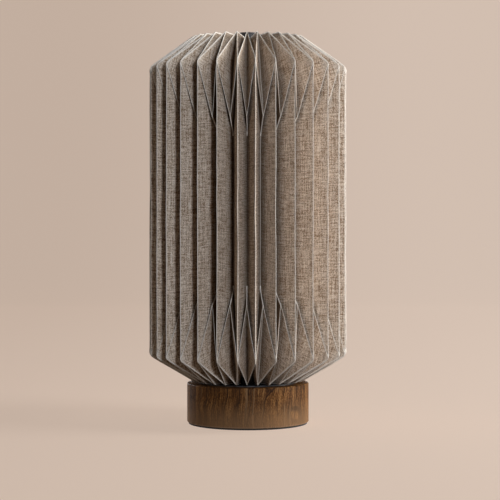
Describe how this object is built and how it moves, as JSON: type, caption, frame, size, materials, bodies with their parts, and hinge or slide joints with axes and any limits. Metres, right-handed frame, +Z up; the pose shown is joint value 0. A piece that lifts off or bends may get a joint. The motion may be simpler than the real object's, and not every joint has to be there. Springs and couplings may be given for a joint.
{
  "type": "pleated table lamp",
  "caption": "Round table lamp: folded linen shade with coned ends that lifts off a turned walnut base, with a screw-base bulb on a short stem.",
  "frame": {"origin": "on the table under the middle of the base", "axes": "+Z up along the lamp's axis, front faces -Y, cable inlet at +Y"},
  "size_m": [0.25, 0.2486, 0.4943],
  "materials": {
    "walnut": "satin oiled, dark, grain upright",
    "felt": "pressed wool felt",
    "raw_steel": "turned, oiled",
    "zinc_steel": "bright zinc",
    "black_nylon": "moulded, fine spark texture",
    "black_steel": "satin black powder coat",
    "black_phenolic": "moulded, semi-gloss",
    "white_ceramic": "unglazed steatite",
    "contact_brass": "plain stamped",
    "cap_nickel": "rolled, nickel-bright",
    "black_vitrite": "glassy black",
    "white_plastic": "moulded",
    "circuit_board": "green solder mask",
    "white_board": "white solder mask on aluminium",
    "led_phosphor": "yellow phosphor",
    "opal_plastic": "opal, translucent",
    "linen": "natural slubby linen laminated on card, pale worn folds"
  },
  "bodies": {
    "base": {"base_body": "walnut", "base_pad": "felt", "ballast_plate": "raw_steel", "ballast_screws": "zinc_steel", "cable_gland": "black_nylon", "gland_nut": "black_nylon", "shade_seat": "black_steel", "seat_screws": "black_steel", "threaded_tube": "zinc_steel", "tube_washer": "zinc_steel", "tube_nut": "zinc_steel", "stem_sleeve": "black_steel", "holder_cap": "black_phenolic", "lock_screw": "zinc_steel", "holder_shell": "black_phenolic", "holder_insert": "white_ceramic", "terminal_screws": "contact_brass", "screw_shell": "contact_brass", "centre_contact": "contact_brass"},
    "bulb": {"bulb_tip": "cap_nickel", "bulb_insulator": "black_vitrite", "bulb_cap": "cap_nickel", "bulb_housing": "white_plastic", "driver_board": "circuit_board", "led_board": "white_board", "led_chips": "led_phosphor", "bulb_globe": "opal_plastic"},
    "shade": {"pleated_shade": "linen", "bottom_ring": "black_nylon", "top_hub": "black_nylon", "hub_plate": "black_steel", "top_cap": "black_steel", "hub_screw": "zinc_steel"}
  },
  "joints": [
    {"name": "shade_lift", "type": "slide", "parent": "base", "child": "shade", "axis": [0, 0, 1], "range_m": [0, 0.23]},
    {"name": "bulb_out", "type": "slide", "parent": "base", "child": "bulb", "axis": [0, 0, 1], "range_m": [0, 0.03]}
  ]
}
